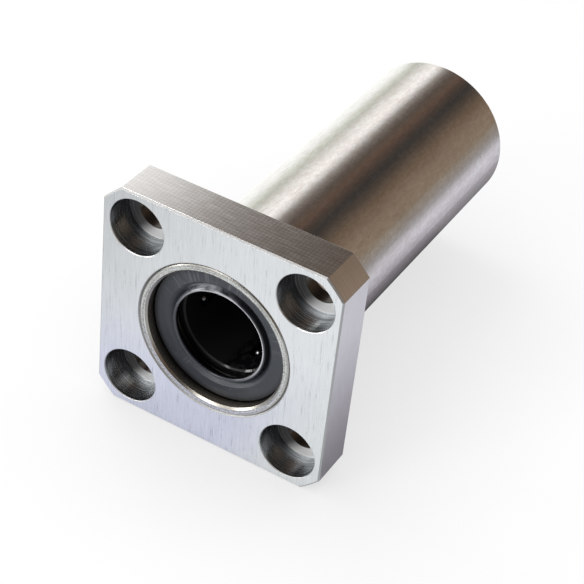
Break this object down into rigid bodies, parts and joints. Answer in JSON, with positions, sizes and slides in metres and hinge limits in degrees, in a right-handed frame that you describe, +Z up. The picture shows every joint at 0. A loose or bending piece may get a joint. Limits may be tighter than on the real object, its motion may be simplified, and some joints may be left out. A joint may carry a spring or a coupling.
{
  "type": "flanged linear bearing",
  "caption": "Linear ball bearing: a long steel tube with sealed ends and recirculating balls, held in a square flange with sunk screw holes.",
  "frame": {"origin": "point of the bore axis in the flange's mounting face, the rear face that meets a machine wall", "axes": "+Y along the bore from the flange to the free end of the tube, +Z up, +X to the right seen from the front face"},
  "size_m": [0.032, 0.057, 0.032],
  "materials": {
    "flange_steel": "brushed steel plate, grain along Z, ground side faces",
    "tube_steel": "hardened steel, finely ground and bright",
    "ring_steel": "plain pressed steel",
    "ball_steel": "polished bearing balls",
    "cage_resin": "moulded black resin",
    "spacer_resin": "moulded black resin",
    "seal_rubber": "dark blue-grey nitrile rubber, faint radial marks"
  },
  "bodies": {
    "housing": {"flange": "flange_steel", "race_tube": "tube_steel", "cage_spacer": "spacer_resin", "front_end_ring": "ring_steel", "front_seal": "seal_rubber", "front_ball_cage": "cage_resin", "rear_end_ring": "ring_steel", "rear_seal": "seal_rubber", "rear_ball_cage": "cage_resin"},
    "front_circuit_1_loaded": {"front_circuit_1_loaded_balls": "ball_steel"},
    "front_circuit_1_return": {"front_circuit_1_return_balls": "ball_steel"},
    "front_circuit_1_front_turn": {"front_circuit_1_front_turn_balls": "ball_steel"},
    "front_circuit_1_rear_turn": {"front_circuit_1_rear_turn_balls": "ball_steel"},
    "front_circuit_2_loaded": {"front_circuit_2_loaded_balls": "ball_steel"},
    "front_circuit_2_return": {"front_circuit_2_return_balls": "ball_steel"},
    "front_circuit_2_front_turn": {"front_circuit_2_front_turn_balls": "ball_steel"},
    "front_circuit_2_rear_turn": {"front_circuit_2_rear_turn_balls": "ball_steel"},
    "front_circuit_3_loaded": {"front_circuit_3_loaded_balls": "ball_steel"},
    "front_circuit_3_return": {"front_circuit_3_return_balls": "ball_steel"},
    "front_circuit_3_front_turn": {"front_circuit_3_front_turn_balls": "ball_steel"},
    "front_circuit_3_rear_turn": {"front_circuit_3_rear_turn_balls": "ball_steel"},
    "front_circuit_4_loaded": {"front_circuit_4_loaded_balls": "ball_steel"},
    "front_circuit_4_return": {"front_circuit_4_return_balls": "ball_steel"},
    "front_circuit_4_front_turn": {"front_circuit_4_front_turn_balls": "ball_steel"},
    "front_circuit_4_rear_turn": {"front_circuit_4_rear_turn_balls": "ball_steel"},
    "rear_circuit_1_loaded": {"rear_circuit_1_loaded_balls": "ball_steel"},
    "rear_circuit_1_return": {"rear_circuit_1_return_balls": "ball_steel"},
    "rear_circuit_1_front_turn": {"rear_circuit_1_front_turn_balls": "ball_steel"},
    "rear_circuit_1_rear_turn": {"rear_circuit_1_rear_turn_balls": "ball_steel"},
    "rear_circuit_2_loaded": {"rear_circuit_2_loaded_balls": "ball_steel"},
    "rear_circuit_2_return": {"rear_circuit_2_return_balls": "ball_steel"},
    "rear_circuit_2_front_turn": {"rear_circuit_2_front_turn_balls": "ball_steel"},
    "rear_circuit_2_rear_turn": {"rear_circuit_2_rear_turn_balls": "ball_steel"},
    "rear_circuit_3_loaded": {"rear_circuit_3_loaded_balls": "ball_steel"},
    "rear_circuit_3_return": {"rear_circuit_3_return_balls": "ball_steel"},
    "rear_circuit_3_front_turn": {"rear_circuit_3_front_turn_balls": "ball_steel"},
    "rear_circuit_3_rear_turn": {"rear_circuit_3_rear_turn_balls": "ball_steel"},
    "rear_circuit_4_loaded": {"rear_circuit_4_loaded_balls": "ball_steel"},
    "rear_circuit_4_return": {"rear_circuit_4_return_balls": "ball_steel"},
    "rear_circuit_4_front_turn": {"rear_circuit_4_front_turn_balls": "ball_steel"},
    "rear_circuit_4_rear_turn": {"rear_circuit_4_rear_turn_balls": "ball_steel"}
  },
  "joints": [
    {"name": "front_circuit_1_loaded_roll", "type": "slide", "parent": "housing", "child": "front_circuit_1_loaded", "axis": [0, 1, 0], "range_m": [-0.00107, 0.00107]},
    {"name": "front_circuit_1_return_roll", "type": "slide", "parent": "housing", "child": "front_circuit_1_return", "axis": [0, 1, 0], "range_m": [-0.00107, 0.00107]},
    {"name": "front_circuit_1_front_turn_roll", "type": "hinge", "parent": "housing", "child": "front_circuit_1_front_turn", "pos_m": [0.00745, 0.00146, 0.00006], "axis": [0.9925, 0, 0.1219], "range_deg": [-30, 30]},
    {"name": "front_circuit_1_rear_turn_roll", "type": "hinge", "parent": "housing", "child": "front_circuit_1_rear_turn", "pos_m": [0.00745, 0.01649, 0.00006], "axis": [0.9925, 0, 0.1219], "range_deg": [-30, 30]},
    {"name": "front_circuit_2_loaded_roll", "type": "slide", "parent": "housing", "child": "front_circuit_2_loaded", "axis": [0, 1, 0], "range_m": [-0.00107, 0.00107]},
    {"name": "front_circuit_2_return_roll", "type": "slide", "parent": "housing", "child": "front_circuit_2_return", "axis": [0, 1, 0], "range_m": [-0.00107, 0.00107]},
    {"name": "front_circuit_2_front_turn_roll", "type": "hinge", "parent": "housing", "child": "front_circuit_2_front_turn", "pos_m": [-0.00006, 0.00146, 0.00745], "axis": [-0.1219, 0, 0.9925], "range_deg": [-30, 30]},
    {"name": "front_circuit_2_rear_turn_roll", "type": "hinge", "parent": "housing", "child": "front_circuit_2_rear_turn", "pos_m": [-0.00006, 0.01649, 0.00745], "axis": [-0.1219, 0, 0.9925], "range_deg": [-30, 30]},
    {"name": "front_circuit_3_loaded_roll", "type": "slide", "parent": "housing", "child": "front_circuit_3_loaded", "axis": [0, 1, 0], "range_m": [-0.00107, 0.00107]},
    {"name": "front_circuit_3_return_roll", "type": "slide", "parent": "housing", "child": "front_circuit_3_return", "axis": [0, 1, 0], "range_m": [-0.00107, 0.00107]},
    {"name": "front_circuit_3_front_turn_roll", "type": "hinge", "parent": "housing", "child": "front_circuit_3_front_turn", "pos_m": [-0.00745, 0.00146, -0.00006], "axis": [-0.9925, 0, -0.1219], "range_deg": [-30, 30]},
    {"name": "front_circuit_3_rear_turn_roll", "type": "hinge", "parent": "housing", "child": "front_circuit_3_rear_turn", "pos_m": [-0.00745, 0.01649, -0.00006], "axis": [-0.9925, 0, -0.1219], "range_deg": [-30, 30]},
    {"name": "front_circuit_4_loaded_roll", "type": "slide", "parent": "housing", "child": "front_circuit_4_loaded", "axis": [0, 1, 0], "range_m": [-0.00107, 0.00107]},
    {"name": "front_circuit_4_return_roll", "type": "slide", "parent": "housing", "child": "front_circuit_4_return", "axis": [0, 1, 0], "range_m": [-0.00107, 0.00107]},
    {"name": "front_circuit_4_front_turn_roll", "type": "hinge", "parent": "housing", "child": "front_circuit_4_front_turn", "pos_m": [0.00006, 0.00146, -0.00745], "axis": [0.1219, 0, -0.9925], "range_deg": [-30, 30]},
    {"name": "front_circuit_4_rear_turn_roll", "type": "hinge", "parent": "housing", "child": "front_circuit_4_rear_turn", "pos_m": [0.00006, 0.01649, -0.00745], "axis": [0.1219, 0, -0.9925], "range_deg": [-30, 30]},
    {"name": "rear_circuit_1_loaded_roll", "type": "slide", "parent": "housing", "child": "rear_circuit_1_loaded", "axis": [0, 1, 0], "range_m": [-0.00107, 0.00107]},
    {"name": "rear_circuit_1_return_roll", "type": "slide", "parent": "housing", "child": "rear_circuit_1_return", "axis": [0, 1, 0], "range_m": [-0.00107, 0.00107]},
    {"name": "rear_circuit_1_front_turn_roll", "type": "hinge", "parent": "housing", "child": "rear_circuit_1_front_turn", "pos_m": [0.00745, 0.02851, 0.00006], "axis": [0.9925, 0, 0.1219], "range_deg": [-30, 30]},
    {"name": "rear_circuit_1_rear_turn_roll", "type": "hinge", "parent": "housing", "child": "rear_circuit_1_rear_turn", "pos_m": [0.00745, 0.04354, 0.00006], "axis": [0.9925, 0, 0.1219], "range_deg": [-30, 30]},
    {"name": "rear_circuit_2_loaded_roll", "type": "slide", "parent": "housing", "child": "rear_circuit_2_loaded", "axis": [0, 1, 0], "range_m": [-0.00107, 0.00107]},
    {"name": "rear_circuit_2_return_roll", "type": "slide", "parent": "housing", "child": "rear_circuit_2_return", "axis": [0, 1, 0], "range_m": [-0.00107, 0.00107]},
    {"name": "rear_circuit_2_front_turn_roll", "type": "hinge", "parent": "housing", "child": "rear_circuit_2_front_turn", "pos_m": [-0.00006, 0.02851, 0.00745], "axis": [-0.1219, 0, 0.9925], "range_deg": [-30, 30]},
    {"name": "rear_circuit_2_rear_turn_roll", "type": "hinge", "parent": "housing", "child": "rear_circuit_2_rear_turn", "pos_m": [-0.00006, 0.04354, 0.00745], "axis": [-0.1219, 0, 0.9925], "range_deg": [-30, 30]},
    {"name": "rear_circuit_3_loaded_roll", "type": "slide", "parent": "housing", "child": "rear_circuit_3_loaded", "axis": [0, 1, 0], "range_m": [-0.00107, 0.00107]},
    {"name": "rear_circuit_3_return_roll", "type": "slide", "parent": "housing", "child": "rear_circuit_3_return", "axis": [0, 1, 0], "range_m": [-0.00107, 0.00107]},
    {"name": "rear_circuit_3_front_turn_roll", "type": "hinge", "parent": "housing", "child": "rear_circuit_3_front_turn", "pos_m": [-0.00745, 0.02851, -0.00006], "axis": [-0.9925, 0, -0.1219], "range_deg": [-30, 30]},
    {"name": "rear_circuit_3_rear_turn_roll", "type": "hinge", "parent": "housing", "child": "rear_circuit_3_rear_turn", "pos_m": [-0.00745, 0.04354, -0.00006], "axis": [-0.9925, 0, -0.1219], "range_deg": [-30, 30]},
    {"name": "rear_circuit_4_loaded_roll", "type": "slide", "parent": "housing", "child": "rear_circuit_4_loaded", "axis": [0, 1, 0], "range_m": [-0.00107, 0.00107]},
    {"name": "rear_circuit_4_return_roll", "type": "slide", "parent": "housing", "child": "rear_circuit_4_return", "axis": [0, 1, 0], "range_m": [-0.00107, 0.00107]},
    {"name": "rear_circuit_4_front_turn_roll", "type": "hinge", "parent": "housing", "child": "rear_circuit_4_front_turn", "pos_m": [0.00006, 0.02851, -0.00745], "axis": [0.1219, 0, -0.9925], "range_deg": [-30, 30]},
    {"name": "rear_circuit_4_rear_turn_roll", "type": "hinge", "parent": "housing", "child": "rear_circuit_4_rear_turn", "pos_m": [0.00006, 0.04354, -0.00745], "axis": [0.1219, 0, -0.9925], "range_deg": [-30, 30]}
  ],
  "couplings": [
    {"joint": "front_circuit_1_return_roll", "follows": "front_circuit_1_loaded_roll", "ratio": -1},
    {"joint": "front_circuit_1_front_turn_roll", "follows": "front_circuit_1_loaded_roll", "rad_per_m": -487.8},
    {"joint": "front_circuit_1_rear_turn_roll", "follows": "front_circuit_1_loaded_roll", "rad_per_m": -487.8},
    {"joint": "front_circuit_2_return_roll", "follows": "front_circuit_2_loaded_roll", "ratio": -1},
    {"joint": "front_circuit_2_front_turn_roll", "follows": "front_circuit_2_loaded_roll", "rad_per_m": -487.8},
    {"joint": "front_circuit_2_rear_turn_roll", "follows": "front_circuit_2_loaded_roll", "rad_per_m": -487.8},
    {"joint": "front_circuit_3_return_roll", "follows": "front_circuit_3_loaded_roll", "ratio": -1},
    {"joint": "front_circuit_3_front_turn_roll", "follows": "front_circuit_3_loaded_roll", "rad_per_m": -487.8},
    {"joint": "front_circuit_3_rear_turn_roll", "follows": "front_circuit_3_loaded_roll", "rad_per_m": -487.8},
    {"joint": "front_circuit_4_return_roll", "follows": "front_circuit_4_loaded_roll", "ratio": -1},
    {"joint": "front_circuit_4_front_turn_roll", "follows": "front_circuit_4_loaded_roll", "rad_per_m": -487.8},
    {"joint": "front_circuit_4_rear_turn_roll", "follows": "front_circuit_4_loaded_roll", "rad_per_m": -487.8},
    {"joint": "rear_circuit_1_return_roll", "follows": "rear_circuit_1_loaded_roll", "ratio": -1},
    {"joint": "rear_circuit_1_front_turn_roll", "follows": "rear_circuit_1_loaded_roll", "rad_per_m": -487.8},
    {"joint": "rear_circuit_1_rear_turn_roll", "follows": "rear_circuit_1_loaded_roll", "rad_per_m": -487.8},
    {"joint": "rear_circuit_2_return_roll", "follows": "rear_circuit_2_loaded_roll", "ratio": -1},
    {"joint": "rear_circuit_2_front_turn_roll", "follows": "rear_circuit_2_loaded_roll", "rad_per_m": -487.8},
    {"joint": "rear_circuit_2_rear_turn_roll", "follows": "rear_circuit_2_loaded_roll", "rad_per_m": -487.8},
    {"joint": "rear_circuit_3_return_roll", "follows": "rear_circuit_3_loaded_roll", "ratio": -1},
    {"joint": "rear_circuit_3_front_turn_roll", "follows": "rear_circuit_3_loaded_roll", "rad_per_m": -487.8},
    {"joint": "rear_circuit_3_rear_turn_roll", "follows": "rear_circuit_3_loaded_roll", "rad_per_m": -487.8},
    {"joint": "rear_circuit_4_return_roll", "follows": "rear_circuit_4_loaded_roll", "ratio": -1},
    {"joint": "rear_circuit_4_front_turn_roll", "follows": "rear_circuit_4_loaded_roll", "rad_per_m": -487.8},
    {"joint": "rear_circuit_4_rear_turn_roll", "follows": "rear_circuit_4_loaded_roll", "rad_per_m": -487.8}
  ]
}
